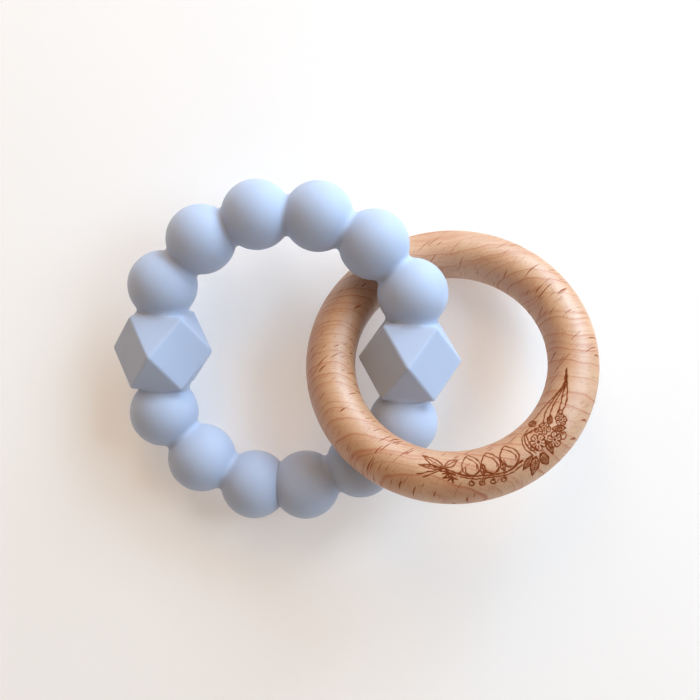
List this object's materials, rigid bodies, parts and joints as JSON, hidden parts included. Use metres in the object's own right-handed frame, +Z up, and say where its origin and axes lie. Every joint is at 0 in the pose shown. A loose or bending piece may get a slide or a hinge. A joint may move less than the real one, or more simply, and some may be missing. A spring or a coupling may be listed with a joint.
{
  "type": "teething ring",
  "caption": "Baby teether: a soft silicone ring moulded as round and many-faced beads, linked through a turned wooden ring with a burnt sprig.",
  "frame": {"origin": "under the middle of the object's bounding box, on the surface that it lies on", "axes": "+Z up; +X from the silicone ring to the wooden ring; +Y across, towards the side where the silicone ring lies over the wooden ring"},
  "size_m": [0.118, 0.0834, 0.0363],
  "materials": {
    "silicone": "matte powder blue food-grade silicone",
    "bond": "cured silicone adhesive, same colour",
    "beech": "sanded beech, oiled, satin, with a burnt drawing"
  },
  "bodies": {
    "silicone_ring": {"silicone_bead_strand": "silicone", "joint_bond": "bond"},
    "wooden_ring": {"wooden_ring": "beech"}
  },
  "joints": [
    {"name": "wooden_ring_turn", "type": "hinge", "parent": "silicone_ring", "child": "wooden_ring", "pos_m": [0.02408, -0.00178, 0.01816], "axis": [-0.0815, 0.4115, 0.9078], "continuous": true}
  ]
}
